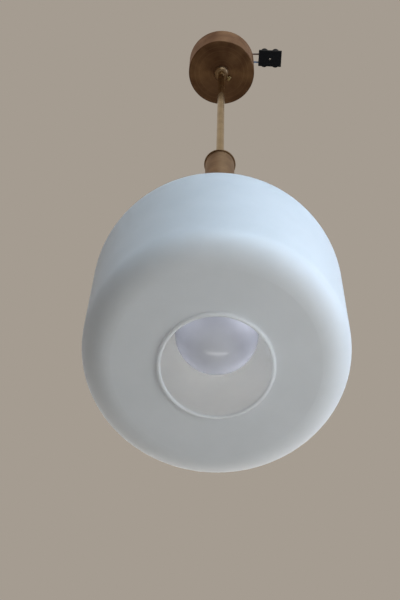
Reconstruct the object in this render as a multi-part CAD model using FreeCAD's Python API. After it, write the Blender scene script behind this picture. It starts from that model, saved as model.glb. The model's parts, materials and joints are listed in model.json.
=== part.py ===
"""Pendant ceiling light: opal glass drum on a brass stem, with a brass ceiling cup. Millimetres, +Z up.

The origin is the centre of the hanger's eye, which goes over a ceiling hook or a tensioned wire along X.
Everything hangs below it on the Z axis. Each sub-part is written to parts/NODE.step.
"""

import FreeCAD
import Part
import math
import os

V = FreeCAD.Vector
AXIS = V(0, 0, 1)
ORIGIN = V(0, 0, 0)

# ---------------------------------------------------------------- driving dimensions
# stem
STEM_R = 5.0  # M10 x 1 brass lamp tube
STEM_WALL = 1.0
STEM_HOLE_CLEARANCE = 0.15  # radial, in everything that the stem passes through
NUT_FLATS = 14.0
NUT_HEIGHT = 5.0
NUT_CHAMFER = 0.2
SEAT_GAP = 0.02  # between faces that are pressed together
# hanger
EYE_R = 8.0
EYE_WALL = 2.6
HANGER_WIDTH = 14.0
HANGER_HALF_SPAN = 12.0
HANGER_ARM = 3.0
HANGER_BASE = 3.0
HANGER_BASE_Z = -64.0  # underside of the hanger's base
STEM_ABOVE_BASE = 20.0  # how far the stem stands up past the base's underside
# ceiling cup
CUP_R = 48.5
CUP_HEIGHT = 57.0
CUP_WALL = 1.0
CUP_FACE = 1.4
CUP_EDGE_R = 1.6
CUP_RIM_Z = -28.0
COLLAR_WALL = 5.35
COLLAR_HEIGHT = 9.0
COLLAR_DOME_R = 5.0  # at most the collar's wall
LOCK_SCREW_R = 1.5
LOCK_SCREW_HEAD_R = 3.4
LOCK_SCREW_HEAD_LENGTH = 4.5
LOCK_SCREW_ANGLE = 32.0  # degrees from +X towards +Y
# neck sleeve above the glass
SLEEVE_R = 18.0
SLEEVE_WALL = 1.0
CAP_R = 19.5
CAP_PLATE = 3.0
CAP_SPIGOT = 6.0
SLEEVE_LENGTH = 258.0
CUP_TO_CAP = 401.0  # clear stem between the ceiling cup's face and the sleeve's cap
FOOT_HEIGHT = 7.0
FOOT_INNER_R = 12.0
# gallery that holds the glass
GALLERY_WALL = 1.2
GALLERY_SKIRT = 22.0
GALLERY_EDGE_R = 3.0
GASKET = 1.5
NECK_R = 36.0
NECK_HEIGHT = 22.0
BEAD = 2.6  # how far the bead stands out of the neck, which is also its rounding
BEAD_HEIGHT = 6.0
BEAD_CLEARANCE = 2.0  # radial, between the bead and the gallery's skirt
THUMB_R = 2.0
THUMB_HEAD_R = 5.0
THUMB_HEAD_LENGTH = 7.0
THUMB_BOSS_R = 4.0
THUMB_BOSS_LENGTH = 2.5
THUMB_COUNT = 3
# glass drum
GLASS_R = 125.4
GLASS_WALL = 3.2
FOOT_CORNER_R = 28.0
SHOULDER_R = 112.0
SIDE_TOP_H = 153.3  # height above the lip at which the straight side ends
OPENING_R = 51.0
LIP_FILLET_R = 1.6
# lampholder and lamp
BULB_R = 40.0
BULB_ABOVE_LIP = 31.3
BULB_NECK_R = 12.4
BULB_FILLET_R = 26.0
BULB_WALL = 0.8
BULB_NECK_LENGTH = 0.3  # straight neck between the fillet and the cap's lower rim
LAMP_CAP_R = 13.1  # E27
LAMP_CAP_WALL = 0.4
LAMP_CAP_LENGTH = 22.0
INSULATOR_HEIGHT = 3.0
CONTACT_R = 4.6
CONTACT_HEIGHT = 1.4
SHELL_CLEARANCE = 0.35
SHELL_WALL = 0.5
HOLDER_R = 20.5
HOLDER_WALL = 2.4
HOLDER_LIP = 3.0  # how far the holder's skirt reaches down past the lamp cap's rim
CORE_GAP = 3.0  # lamp contact to the underside of the porcelain core
CORE_HEIGHT = 10.0
HOLDER_ROOM = 22.0  # wiring room above the core
HOLDER_TOP = 3.0
HOLDER_BOSS = 9.0
HOLDER_BOSS_R = 9.5
TERMINAL_Y = 9.0
TERMINAL_SIZE = (7.0, 6.0, 7.0)
# wiring
LEAD_R = 1.2
LEAD_SPACING = 1.6  # each lead's centre is this far from the stem's axis
BUSH_FLANGE = 1.0
# terminal block
BLOCK_X = 57.0  # its near face
BLOCK_LENGTH = 35.0
BLOCK_PITCH = 13.0
BLOCK_MID_Y = 3.0
BLOCK_BASE_Z = 8.6
BLOCK_SLAB = 5.0
BLOCK_HEIGHT = 18.0
BLOCK_BORE_Z = 14.0
BLOCK_TOWER_R = 6.0
BLOCK_TOWER_PITCH = 17.0
BARREL_R = 3.0
BARREL_BORE_R = 1.9
BARREL_INSET = 2.5
BARREL_WEB = 3.0
BLOCK_SCREW_R = 1.6
BLOCK_SCREW_HEAD_R = 2.3
BLOCK_SCREW_SINK = 2.0
BLOCK_FIXING_R = 1.8
# the free tails' routes, from the stem's mouth to inside the terminal block; chosen by hand
TAIL_BROWN = [(0, -1.6, -44), (0, -1.6, -32), (8, -2, -15), (27, -2.9, 4), (49, -3.5, 14), (69, -3.5, 14)]
TAIL_BLUE = [(0, 1.6, -44), (0, 1.6, -32), (8, 2.5, -15), (27, 6.6, 4), (49, 9.5, 14), (69, 9.5, 14)]

# ---------------------------------------------------------------- places worked out from them
STEM_TOP_Z = HANGER_BASE_Z + STEM_ABOVE_BASE
CUP_FACE_Z = CUP_RIM_Z - CUP_HEIGHT
CAP_TOP_Z = CUP_FACE_Z - CUP_TO_CAP
SLEEVE_TOP_Z = CAP_TOP_Z - CAP_PLATE
GALLERY_TOP_Z = SLEEVE_TOP_Z - SLEEVE_LENGTH
GALLERY_UNDER_Z = GALLERY_TOP_Z - GALLERY_WALL
BEAD_TOP_Z = GALLERY_UNDER_Z - GASKET
NECK_BASE_Z = BEAD_TOP_Z - NECK_HEIGHT
SHOULDER_CENTRE_R = GLASS_R - SHOULDER_R
SHOULDER_CENTRE_Z = NECK_BASE_Z - math.sqrt(SHOULDER_R**2 - (NECK_R - SHOULDER_CENTRE_R) ** 2)
LIP_Z = SHOULDER_CENTRE_Z - SIDE_TOP_H  # the drum's lowest point, around its opening
GLASS_FACE_Z = LIP_Z + GLASS_WALL / 2 + LIP_FILLET_R
THUMB_Z = BEAD_TOP_Z - BEAD_HEIGHT - THUMB_R - 0.3
SKIRT_INNER_R = NECK_R + BEAD + BEAD_CLEARANCE
SKIRT_OUTER_R = SKIRT_INNER_R + GALLERY_WALL
HOLE_R = STEM_R + STEM_HOLE_CLEARANCE
COLLAR_R = HOLE_R + COLLAR_WALL

BULB_LOW_Z = LIP_Z + BULB_ABOVE_LIP
BULB_CENTRE_Z = BULB_LOW_Z + BULB_R
BULB_FILLET_RISE = math.sqrt((BULB_R + BULB_FILLET_R) ** 2 - (BULB_NECK_R + BULB_FILLET_R) ** 2)
LAMP_CAP_Z = BULB_CENTRE_Z + BULB_FILLET_RISE + BULB_NECK_LENGTH
LAMP_CAP_TOP_Z = LAMP_CAP_Z + LAMP_CAP_LENGTH
CONTACT_TOP_Z = LAMP_CAP_TOP_Z + INSULATOR_HEIGHT + CONTACT_HEIGHT
HOLDER_LOW_Z = LAMP_CAP_Z - HOLDER_LIP
CORE_Z = CONTACT_TOP_Z + CORE_GAP
CORE_TOP_Z = CORE_Z + CORE_HEIGHT
HOLDER_CEILING_Z = CORE_TOP_Z + HOLDER_ROOM
HOLDER_TOP_Z = HOLDER_CEILING_Z + HOLDER_TOP
HOLDER_BOSS_Z = HOLDER_TOP_Z + HOLDER_BOSS
STEM_LOW_Z = HOLDER_CEILING_Z + 0.5
SHELL_INNER_R = LAMP_CAP_R + SHELL_CLEARANCE
BLOCK_FAR_X = BLOCK_X + BLOCK_LENGTH
BLOCK_MID_X = BLOCK_X + BLOCK_LENGTH / 2
BLOCK_YS = [BLOCK_MID_Y - BLOCK_PITCH / 2, BLOCK_MID_Y + BLOCK_PITCH / 2]
BLOCK_TOWER_XS = [BLOCK_MID_X - BLOCK_TOWER_PITCH / 2, BLOCK_MID_X + BLOCK_TOWER_PITCH / 2]


# ---------------------------------------------------------------- helpers
class Outline:
    """A closed outline in the r-z half plane, drawn with lines and arcs and then turned about Z."""

    def __init__(self, r, z):
        self.start = self.at = (r, z)
        self.edges = []

    def line(self, r, z):
        if math.dist(self.at, (r, z)) > 1e-6:
            self.edges.append(Part.makeLine(V(self.at[0], 0, self.at[1]), V(r, 0, z)))
            self.at = (r, z)
        return self

    def arc(self, centre, r, z):
        """A short arc about centre from where the outline is to (r, z)."""
        a0 = math.atan2(self.at[1] - centre[1], self.at[0] - centre[0])
        a1 = math.atan2(z - centre[1], r - centre[0])
        turn = (a1 - a0 + math.pi) % (2 * math.pi) - math.pi
        radius = math.dist(centre, self.at)
        mid = a0 + turn / 2
        via = V(centre[0] + radius * math.cos(mid), 0, centre[1] + radius * math.sin(mid))
        self.edges.append(Part.Arc(V(self.at[0], 0, self.at[1]), via, V(r, 0, z)).toShape())
        self.at = (r, z)
        return self

    def solid(self):
        self.line(*self.start)
        face = Part.Face(Part.Wire(self.edges))
        return face.revolve(ORIGIN, AXIS, 360)


def rod(radius, z0, z1, x=0.0, y=0.0):
    return Part.makeCylinder(radius, z1 - z0, V(x, y, z0), AXIS)


def pipe(outer, inner, z0, z1, x=0.0, y=0.0):
    return rod(outer, z0, z1, x, y).cut(rod(inner, z0 - 1, z1 + 1, x, y))


def hexagon(flats, z0, z1):
    corner = flats / math.sqrt(3)
    points = [V(corner * math.cos(math.radians(60 * i)), corner * math.sin(math.radians(60 * i)), z0) for i in range(7)]
    return Part.Face(Part.makePolygon(points)).extrude(V(0, 0, z1 - z0))


def nut(z0):
    """A hexagon nut whose corners are turned off at both ends."""
    z1, corner = z0 + NUT_HEIGHT, NUT_FLATS / math.sqrt(3)
    bevel = corner - NUT_FLATS / 2 + NUT_CHAMFER
    turned = Outline(HOLE_R, z0).line(corner - bevel, z0).line(corner, z0 + 0.6 * bevel)
    turned.line(corner, z1 - 0.6 * bevel).line(corner - bevel, z1).line(HOLE_R, z1)
    return hexagon(NUT_FLATS, z0, z1).common(turned.solid())


def radial_rod(radius, r0, r1, angle, z):
    """A rod along the radius at angle, from r0 to r1 out of the axis."""
    way = V(math.cos(math.radians(angle)), math.sin(math.radians(angle)), 0)
    return Part.makeCylinder(radius, r1 - r0, way * r0 + V(0, 0, z), way)


def rounded_route(points, name):
    """Straight runs joined by tangent arcs, each as large as its two runs allow. Prints the radii."""
    points = [V(*p) for p in points]
    edges, radii = [], []
    at = points[0]
    for before, here, after in zip(points, points[1:], points[2:]):
        run_in, run_out = here - before, after - here
        half_turn = run_in.getAngle(run_out) / 2
        reach = 0.45 * min(run_in.Length, run_out.Length)
        radii.append(reach / math.tan(half_turn))
        start = here - V(run_in).normalize() * reach
        end = here + V(run_out).normalize() * reach
        inward = (start + end) * 0.5 - here
        sagitta = reach / math.sin(half_turn) * (1 - math.sin(math.pi / 2 - half_turn)) if half_turn else 0
        via = here + inward.normalize() * (radii[-1] / math.cos(half_turn) - radii[-1])
        edges.append(Part.makeLine(at, start))
        edges.append(Part.Arc(start, via, end).toShape())
        at = end
    edges.append(Part.makeLine(at, points[-1]))
    wire = Part.Wire(edges)
    print(name, "length", round(wire.Length, 1), "radii", [round(r, 1) for r in radii])
    return wire


def tube_along(points, radius, name):
    wire = rounded_route(points, name)
    first = V(*points[1]) - V(*points[0])
    section = Part.Wire(Part.makeCircle(radius, V(*points[0]), first))
    solid = wire.makePipeShell([section], True, True)
    expected = math.pi * radius**2 * wire.Length
    print(name, "volume over section times length", round(solid.Volume / expected, 4))
    return solid


# ---------------------------------------------------------------- hanger and ceiling cup
def hanger():
    """A cast brass stirrup: a closed eye over two arms and a base that the stem is nutted to."""
    half = HANGER_WIDTH / 2
    base_top = HANGER_BASE_Z + HANGER_BASE
    outer = EYE_R + EYE_WALL
    body = Part.makeCylinder(outer, HANGER_WIDTH, V(-half, 0, 0), V(1, 0, 0))
    inside = HANGER_HALF_SPAN - HANGER_ARM
    bend = -2.2 * outer
    for side in (1, -1):
        arm = [(inside, HANGER_BASE_Z), (inside, bend), (0.35 * outer, -0.85 * outer), (0.75 * outer, -0.6 * outer)]
        arm += [(HANGER_HALF_SPAN, bend + HANGER_ARM / 2), (HANGER_HALF_SPAN, HANGER_BASE_Z)]
        loop = [V(-half, side * y, z) for y, z in arm + arm[:1]]
        body = body.fuse(Part.Face(Part.makePolygon(loop)).extrude(V(HANGER_WIDTH, 0, 0)))
    base = Part.makeBox(HANGER_WIDTH, 2 * HANGER_HALF_SPAN, HANGER_BASE, V(-half, -HANGER_HALF_SPAN, HANGER_BASE_Z))
    body = body.fuse(base)
    body = body.cut(Part.makeCylinder(EYE_R, HANGER_WIDTH + 2, V(-half - 1, 0, 0), V(1, 0, 0)))
    return body.cut(rod(HOLE_R, HANGER_BASE_Z - 1, base_top + 1)).removeSplitter()


def hanger_nuts():
    above = HANGER_BASE_Z + HANGER_BASE + SEAT_GAP
    below = HANGER_BASE_Z - NUT_HEIGHT - SEAT_GAP
    return [nut(above), nut(below)]


def stem():
    return pipe(STEM_R, STEM_R - STEM_WALL, STEM_LOW_Z, STEM_TOP_Z)


def stem_bush():
    """A plastic bush in the stem's mouth, so that its edge can't cut the leads."""
    bore = LEAD_SPACING + LEAD_R + 0.3
    sleeve = pipe(STEM_R - STEM_WALL - 0.05, bore, STEM_TOP_Z - 5, STEM_TOP_Z + SEAT_GAP)
    return sleeve.fuse(pipe(STEM_R, bore, STEM_TOP_Z + SEAT_GAP, STEM_TOP_Z + BUSH_FLANGE))


def ceiling_cup():
    inner, under = CUP_R - CUP_WALL, CUP_FACE_Z + CUP_FACE
    edge = CUP_FACE_Z + CUP_EDGE_R
    inner_edge = CUP_EDGE_R - CUP_WALL
    shape = Outline(HOLE_R, CUP_FACE_Z).line(CUP_R - CUP_EDGE_R, CUP_FACE_Z)
    shape.arc((CUP_R - CUP_EDGE_R, edge), CUP_R, edge).line(CUP_R, CUP_RIM_Z).line(inner, CUP_RIM_Z)
    shape.line(inner, under + inner_edge)
    shape.arc((inner - inner_edge, under + inner_edge), inner - inner_edge, under).line(HOLE_R, under)
    return shape.solid()


def cup_collar():
    """The turned ring under the cup that clamps it to the stem."""
    low = CUP_FACE_Z - COLLAR_HEIGHT
    top = CUP_FACE_Z - SEAT_GAP
    shape = Outline(HOLE_R, low).line(COLLAR_R - COLLAR_DOME_R, low)
    shape.arc((COLLAR_R - COLLAR_DOME_R, low + COLLAR_DOME_R), COLLAR_R, low + COLLAR_DOME_R)
    shape.line(COLLAR_R, top).line(HOLE_R, top)
    hole = radial_rod(LOCK_SCREW_R + 0.1, STEM_R, COLLAR_R + 1, LOCK_SCREW_ANGLE, lock_screw_z())
    return shape.solid().cut(hole)


def lock_screw_z():
    return CUP_FACE_Z - COLLAR_HEIGHT / 2


def cup_lock_screw():
    tip = STEM_R + 0.3
    head = COLLAR_R + 0.8
    shank = radial_rod(LOCK_SCREW_R, tip, head, LOCK_SCREW_ANGLE, lock_screw_z())
    knob = radial_rod(LOCK_SCREW_HEAD_R, head, head + LOCK_SCREW_HEAD_LENGTH, LOCK_SCREW_ANGLE, lock_screw_z())
    return shank.fuse(knob)


# ---------------------------------------------------------------- neck sleeve
def sleeve_cap():
    spigot_r = SLEEVE_R - SLEEVE_WALL - 0.05
    shape = Outline(HOLE_R, CAP_TOP_Z).line(CAP_R - 0.6, CAP_TOP_Z).line(CAP_R, CAP_TOP_Z - 0.6)
    shape.line(CAP_R, SLEEVE_TOP_Z + SEAT_GAP).line(spigot_r, SLEEVE_TOP_Z + SEAT_GAP)
    shape.line(spigot_r, SLEEVE_TOP_Z - CAP_SPIGOT).line(HOLE_R, SLEEVE_TOP_Z - CAP_SPIGOT)
    return shape.solid()


def neck_sleeve():
    return pipe(SLEEVE_R, SLEEVE_R - SLEEVE_WALL, GALLERY_TOP_Z + SEAT_GAP, SLEEVE_TOP_Z)


def sleeve_foot():
    """The ring that centres the sleeve on the gallery, around the nut."""
    outer = SLEEVE_R - SLEEVE_WALL - 0.1
    return pipe(outer, FOOT_INNER_R, GALLERY_TOP_Z + SEAT_GAP, GALLERY_TOP_Z + FOOT_HEIGHT)


def gallery_nuts():
    above = GALLERY_TOP_Z + SEAT_GAP + 1.5
    below = GALLERY_UNDER_Z - 1.5 - NUT_HEIGHT - SEAT_GAP
    return [nut(above), nut(below)]


def gallery_washers():
    above = pipe(FOOT_INNER_R - 1.0, HOLE_R, GALLERY_TOP_Z + SEAT_GAP, GALLERY_TOP_Z + 1.5)
    below = pipe(FOOT_INNER_R - 1.0, HOLE_R, GALLERY_UNDER_Z - 1.5, GALLERY_UNDER_Z - SEAT_GAP)
    return [above, below]


# ---------------------------------------------------------------- gallery and glass
def thumb_angles():
    return [90 + 360 / THUMB_COUNT * i for i in range(THUMB_COUNT)]


def gallery():
    low = GALLERY_TOP_Z - GALLERY_SKIRT
    rim_r, inner_edge = SKIRT_OUTER_R - GALLERY_EDGE_R, GALLERY_EDGE_R - GALLERY_WALL
    edge_z = GALLERY_TOP_Z - GALLERY_EDGE_R
    shape = Outline(HOLE_R, GALLERY_TOP_Z).line(rim_r, GALLERY_TOP_Z)
    shape.arc((rim_r, edge_z), SKIRT_OUTER_R, edge_z).line(SKIRT_OUTER_R, low).line(SKIRT_INNER_R, low)
    shape.line(SKIRT_INNER_R, edge_z).arc((rim_r, edge_z), rim_r, edge_z + inner_edge).line(HOLE_R, GALLERY_UNDER_Z)
    body = shape.solid()
    for angle in thumb_angles():
        boss_end = SKIRT_OUTER_R + THUMB_BOSS_LENGTH
        body = body.fuse(radial_rod(THUMB_BOSS_R, SKIRT_INNER_R + 0.3, boss_end, angle, THUMB_Z))
    for angle in thumb_angles():
        body = body.cut(radial_rod(THUMB_R + 0.1, SKIRT_INNER_R - 2, SKIRT_OUTER_R + 5, angle, THUMB_Z))
    return body


def thumbscrew(angle):
    head = SKIRT_OUTER_R + THUMB_BOSS_LENGTH + 1.5
    shank = radial_rod(THUMB_R, NECK_R + 0.3, head, angle, THUMB_Z)
    knob = radial_rod(THUMB_HEAD_R, head, head + THUMB_HEAD_LENGTH, angle, THUMB_Z)
    waist = radial_rod(THUMB_HEAD_R - 1.6, head - 1.2, head, angle, THUMB_Z)
    return shank.fuse([knob, waist])


def gallery_gasket():
    return pipe(NECK_R + BEAD - 0.5, NECK_R - GLASS_WALL, BEAD_TOP_Z + SEAT_GAP, GALLERY_UNDER_Z - SEAT_GAP)


def glass_drum():
    """Blown opal glass: rolled lip, flat foot, round foot corner, straight side, domed shoulder, beaded neck."""
    wall, inner_r = GLASS_WALL, GLASS_R - GLASS_WALL
    lip_mid_r, lip_mid_z = OPENING_R + wall / 2, LIP_Z + wall / 2
    fillet = (OPENING_R + wall + LIP_FILLET_R, lip_mid_z)
    corner = (GLASS_R - FOOT_CORNER_R, GLASS_FACE_Z + FOOT_CORNER_R)
    shoulder = (SHOULDER_CENTRE_R, SHOULDER_CENTRE_Z)
    neck_inner_r = NECK_R - wall
    inner_shoulder_r = SHOULDER_R - wall
    neck_inner_z = SHOULDER_CENTRE_Z + math.sqrt(inner_shoulder_r**2 - (neck_inner_r - SHOULDER_CENTRE_R) ** 2)
    bead_low = BEAD_TOP_Z - BEAD_HEIGHT
    shape = Outline(OPENING_R, lip_mid_z)
    shape.arc((lip_mid_r, lip_mid_z), lip_mid_r, LIP_Z).arc((lip_mid_r, lip_mid_z), OPENING_R + wall, lip_mid_z)
    shape.arc(fillet, fillet[0], GLASS_FACE_Z).line(corner[0], GLASS_FACE_Z)
    shape.arc(corner, GLASS_R, corner[1]).line(GLASS_R, SHOULDER_CENTRE_Z)
    shape.arc(shoulder, NECK_R, NECK_BASE_Z).line(NECK_R, bead_low)
    shape.arc((NECK_R, bead_low + BEAD), NECK_R + BEAD, bead_low + BEAD)
    shape.line(NECK_R + BEAD, BEAD_TOP_Z - 1.0).line(NECK_R + BEAD - 1.0, BEAD_TOP_Z)
    shape.line(neck_inner_r, BEAD_TOP_Z).line(neck_inner_r, neck_inner_z)
    shape.arc(shoulder, inner_r, SHOULDER_CENTRE_Z).line(inner_r, corner[1])
    shape.arc(corner, corner[0], GLASS_FACE_Z + wall).line(fillet[0], GLASS_FACE_Z + wall)
    shape.arc(fillet, OPENING_R, lip_mid_z)
    return shape.solid()


# ---------------------------------------------------------------- lampholder
def holder_cap():
    """The moulded dome that screws on the stem and covers the terminals."""
    dome = 9.0
    inner = HOLDER_R - HOLDER_WALL
    knee_z, knee_r = HOLDER_TOP_Z - dome, HOLDER_R - dome
    low = CORE_TOP_Z + SEAT_GAP
    inner_dome = dome - HOLDER_WALL
    shape = Outline(inner, low).line(HOLDER_R, low).line(HOLDER_R, knee_z).arc((knee_r, knee_z), knee_r, HOLDER_TOP_Z)
    shape.line(HOLDER_BOSS_R, HOLDER_TOP_Z).line(HOLDER_BOSS_R - 1, HOLDER_BOSS_Z).line(HOLE_R, HOLDER_BOSS_Z)
    shape.line(HOLE_R, HOLDER_CEILING_Z).line(inner - inner_dome, HOLDER_CEILING_Z)
    shape.arc((inner - inner_dome, HOLDER_CEILING_Z - inner_dome), inner, HOLDER_CEILING_Z - inner_dome)
    return shape.solid()


def holder_skirt():
    """The moulded sleeve around the lamp cap, with raised grip rings."""
    inner = HOLDER_R - HOLDER_WALL
    body = pipe(HOLDER_R, inner, HOLDER_LOW_Z, CORE_TOP_Z)
    step = (CORE_TOP_Z - HOLDER_LOW_Z) / 6
    for i in range(1, 5):
        z = HOLDER_LOW_Z + step * i
        body = body.fuse(pipe(HOLDER_R + 0.8, HOLDER_R - 0.5, z, z + step / 2))
    return body


def holder_core():
    """The porcelain disc between the contacts below and the terminals above."""
    return rod(HOLDER_R - HOLDER_WALL - 0.1, CORE_Z, CORE_TOP_Z - SEAT_GAP)


def holder_shell():
    """The threaded metal shell that takes the lamp cap, turned out to a flange under the core."""
    flange_r = HOLDER_R - HOLDER_WALL - 0.3
    top = CORE_Z - SEAT_GAP
    body = pipe(SHELL_INNER_R + SHELL_WALL, SHELL_INNER_R, HOLDER_LOW_Z + 2, top - SHELL_WALL)
    return body.fuse(pipe(flange_r, SHELL_INNER_R, top - SHELL_WALL, top))


def holder_contact():
    """The sprung leaf that meets the lamp's contact, riveted to the core."""
    top = CORE_Z - SEAT_GAP
    leaf = Part.makeBox(18.0, 6.0, 0.5, V(-6, -3, CONTACT_TOP_Z + 0.3))
    post = Part.makeBox(0.8, 6.0, top - CONTACT_TOP_Z - 0.3, V(11.2, -3, CONTACT_TOP_Z + 0.3))
    foot = Part.makeBox(5.0, 6.0, 0.5, V(7.0, -3, top - 0.5))
    return leaf.fuse([post, foot])


def holder_terminals():
    width, depth, height = TERMINAL_SIZE
    blocks = []
    for side in (-1, 1):
        low = V(-width / 2, side * TERMINAL_Y - depth / 2, CORE_TOP_Z)
        block = Part.makeBox(width, depth, height, low)
        entry = rod(LEAD_R + 0.3, CORE_TOP_Z + 2, CORE_TOP_Z + height + 1, 0, side * TERMINAL_Y)
        screw_hole = Part.makeCylinder(1.3, 3, V(width / 2 - 2.5, side * TERMINAL_Y, CORE_TOP_Z + 4), V(1, 0, 0))
        blocks.append(block.cut(entry).cut(screw_hole))
    return blocks


def holder_screws():
    width = TERMINAL_SIZE[0]
    screws = []
    for side in (-1, 1):
        at = V(width / 2 - 1.4, side * TERMINAL_Y, CORE_TOP_Z + 4)
        shank = Part.makeCylinder(1.2, 2.0, at, V(1, 0, 0))
        head = Part.makeCylinder(2.2, 1.4, at + V(1.6, 0, 0), V(1, 0, 0))
        slot = Part.makeBox(1, 6, 0.6, at + V(2.4, -3, -0.3))
        screws.append(shank.fuse(head).cut(slot))
    return screws


# ---------------------------------------------------------------- lamp
def bulb_outline(offset):
    """Where the globe, its fillet and its neck meet, for a surface this far inside the outer one."""
    globe, fillet, neck = BULB_R - offset, BULB_FILLET_R + offset, BULB_NECK_R - offset
    fillet_r = neck + fillet
    rise = math.sqrt((globe + fillet) ** 2 - fillet_r**2)
    share = globe / (globe + fillet)
    meet = (fillet_r * share, BULB_CENTRE_Z + rise * share)
    return globe, neck, (fillet_r, BULB_CENTRE_Z + rise), meet


def bulb_globe():
    globe, neck, fillet, meet = bulb_outline(0.0)
    inner_globe, inner_neck, inner_fillet, inner_meet = bulb_outline(BULB_WALL)
    centre = (0.0, BULB_CENTRE_Z)
    top = LAMP_CAP_Z + 4.0
    shape = Outline(0, BULB_CENTRE_Z - globe).arc(centre, globe, BULB_CENTRE_Z).arc(centre, *meet)
    shape.arc(fillet, neck, fillet[1]).line(neck, top).line(inner_neck, top).line(inner_neck, inner_fillet[1])
    shape.arc(inner_fillet, *inner_meet).arc(centre, inner_globe, BULB_CENTRE_Z)
    shape.arc(centre, 0, BULB_CENTRE_Z - inner_globe)
    return shape.solid()


def bulb_cap():
    inner = LAMP_CAP_R - LAMP_CAP_WALL
    shape = Outline(inner, LAMP_CAP_Z).line(LAMP_CAP_R, LAMP_CAP_Z).line(LAMP_CAP_R, LAMP_CAP_TOP_Z - 1)
    shape.line(LAMP_CAP_R - 1, LAMP_CAP_TOP_Z).line(LAMP_CAP_R - 1 - LAMP_CAP_WALL, LAMP_CAP_TOP_Z)
    shape.line(inner, LAMP_CAP_TOP_Z - 1 - LAMP_CAP_WALL / 2)
    return shape.solid()


def bulb_insulator():
    low, top = LAMP_CAP_TOP_Z + SEAT_GAP, LAMP_CAP_TOP_Z + INSULATOR_HEIGHT
    shape = Outline(0, low).line(LAMP_CAP_R - 1.2, low).line(CONTACT_R + 1.0, top).line(0, top)
    return shape.solid()


def bulb_contact():
    low = CONTACT_TOP_Z - CONTACT_HEIGHT + SEAT_GAP
    return Outline(0, low).line(CONTACT_R, low).line(CONTACT_R - 1, CONTACT_TOP_Z).line(0, CONTACT_TOP_Z).solid()


def bulb_mount():
    """The glass stem inside the globe that carries the filament's wires."""
    low, top = BULB_CENTRE_Z + 22, LAMP_CAP_Z + 5
    flare = BULB_NECK_R - BULB_WALL - 0.3
    shape = Outline(0, low).line(2.2, low).line(3.2, top - 12).line(flare, top - 1).line(flare, top).line(0, top)
    return shape.solid()


def bulb_filament():
    """Two support wires and the coil between them, joined at their ends."""
    span, low, top = 13.0, BULB_CENTRE_Z + 6, BULB_CENTRE_Z + 22 - 0.3
    parts = []
    for side in (-1, 1):
        start, end = V(side * 1.4, 0, top), V(side * span, 0, low)
        parts.append(Part.makeCylinder(0.35, (end - start).Length, start, end - start))
    parts.append(Part.makeCylinder(0.7, 2 * span, V(-span, 0, low), V(1, 0, 0)))
    return parts[0].fuse(parts[1:])


# ---------------------------------------------------------------- wiring
def inner_lead(side, name):
    """One insulated lead, from its terminal in the holder up the stem to the stem's mouth."""
    y_in, y_out = side * LEAD_SPACING, side * TERMINAL_Y
    bend_z = STEM_LOW_Z - 2.0
    route = [(0, y_out, CORE_TOP_Z + 3), (0, y_out, CORE_TOP_Z + 9), (0, y_in, bend_z), (0, y_in, STEM_TOP_Z)]
    return tube_along(route, LEAD_R, name)


def block_body():
    """Moulded block: a straight-backed slab with four screw towers, bored through for two poles."""
    slab_low_y = BLOCK_YS[0] - BLOCK_TOWER_R - 1.0
    slab_depth = BLOCK_YS[1] - slab_low_y + 2.0
    body = Part.makeBox(BLOCK_LENGTH, slab_depth, BLOCK_SLAB, V(BLOCK_X, slab_low_y, BLOCK_BASE_Z))
    top = BLOCK_BASE_Z + BLOCK_HEIGHT
    for y in BLOCK_YS:
        barrel_z = BLOCK_BORE_Z + BARREL_R + 1.2
        body = body.fuse(
            Part.makeBox(BLOCK_LENGTH, 2 * BARREL_R + 3, barrel_z - BLOCK_BASE_Z, V(BLOCK_X, y - BARREL_R - 1.5, BLOCK_BASE_Z))
        )
        for x in BLOCK_TOWER_XS:
            body = body.fuse(rod(BLOCK_TOWER_R, BLOCK_BASE_Z, top, x, y))
    for y in BLOCK_YS:
        body = body.cut(Part.makeCylinder(BARREL_R + 0.05, BLOCK_LENGTH + 2, V(BLOCK_X - 1, y, BLOCK_BORE_Z), V(1, 0, 0)))
        for x in BLOCK_TOWER_XS:
            body = body.cut(rod(BLOCK_SCREW_HEAD_R + 0.3, BLOCK_BORE_Z, top + 1, x, y))
    return body.cut(rod(BLOCK_FIXING_R, BLOCK_BASE_Z - 1, top + 1, BLOCK_MID_X, BLOCK_MID_Y))


def block_barrels():
    """Brass tubes with a solid web in the middle, so each end is a blind socket for one conductor."""
    barrels = []
    length = BLOCK_LENGTH - 2 * BARREL_INSET
    depth = (length - BARREL_WEB) / 2
    for y in BLOCK_YS:
        start = V(BLOCK_X + BARREL_INSET, y, BLOCK_BORE_Z)
        barrel = Part.makeCylinder(BARREL_R, length, start, V(1, 0, 0))
        for x in (start.x, start.x + length - depth):
            barrel = barrel.cut(Part.makeCylinder(BARREL_BORE_R, depth, V(x, y, BLOCK_BORE_Z), V(1, 0, 0)))
        for x in BLOCK_TOWER_XS:
            barrel = barrel.cut(rod(BLOCK_SCREW_R + 0.05, BLOCK_BORE_Z + 0.5, BLOCK_BORE_Z + 9, x, y))
        barrels.append(barrel)
    return barrels


def block_screws():
    screws = []
    tip = BLOCK_BORE_Z + LEAD_R + 0.1
    head_top = BLOCK_BASE_Z + BLOCK_HEIGHT - BLOCK_SCREW_SINK
    for y in BLOCK_YS:
        for x in BLOCK_TOWER_XS:
            screw = rod(BLOCK_SCREW_R, tip, head_top, x, y).fuse(rod(BLOCK_SCREW_HEAD_R, head_top - 3, head_top, x, y))
            screws.append(screw.cut(Part.makeBox(8, 0.7, 1, V(x - 4, y - 0.35, head_top - 1))))
    return screws


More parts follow.
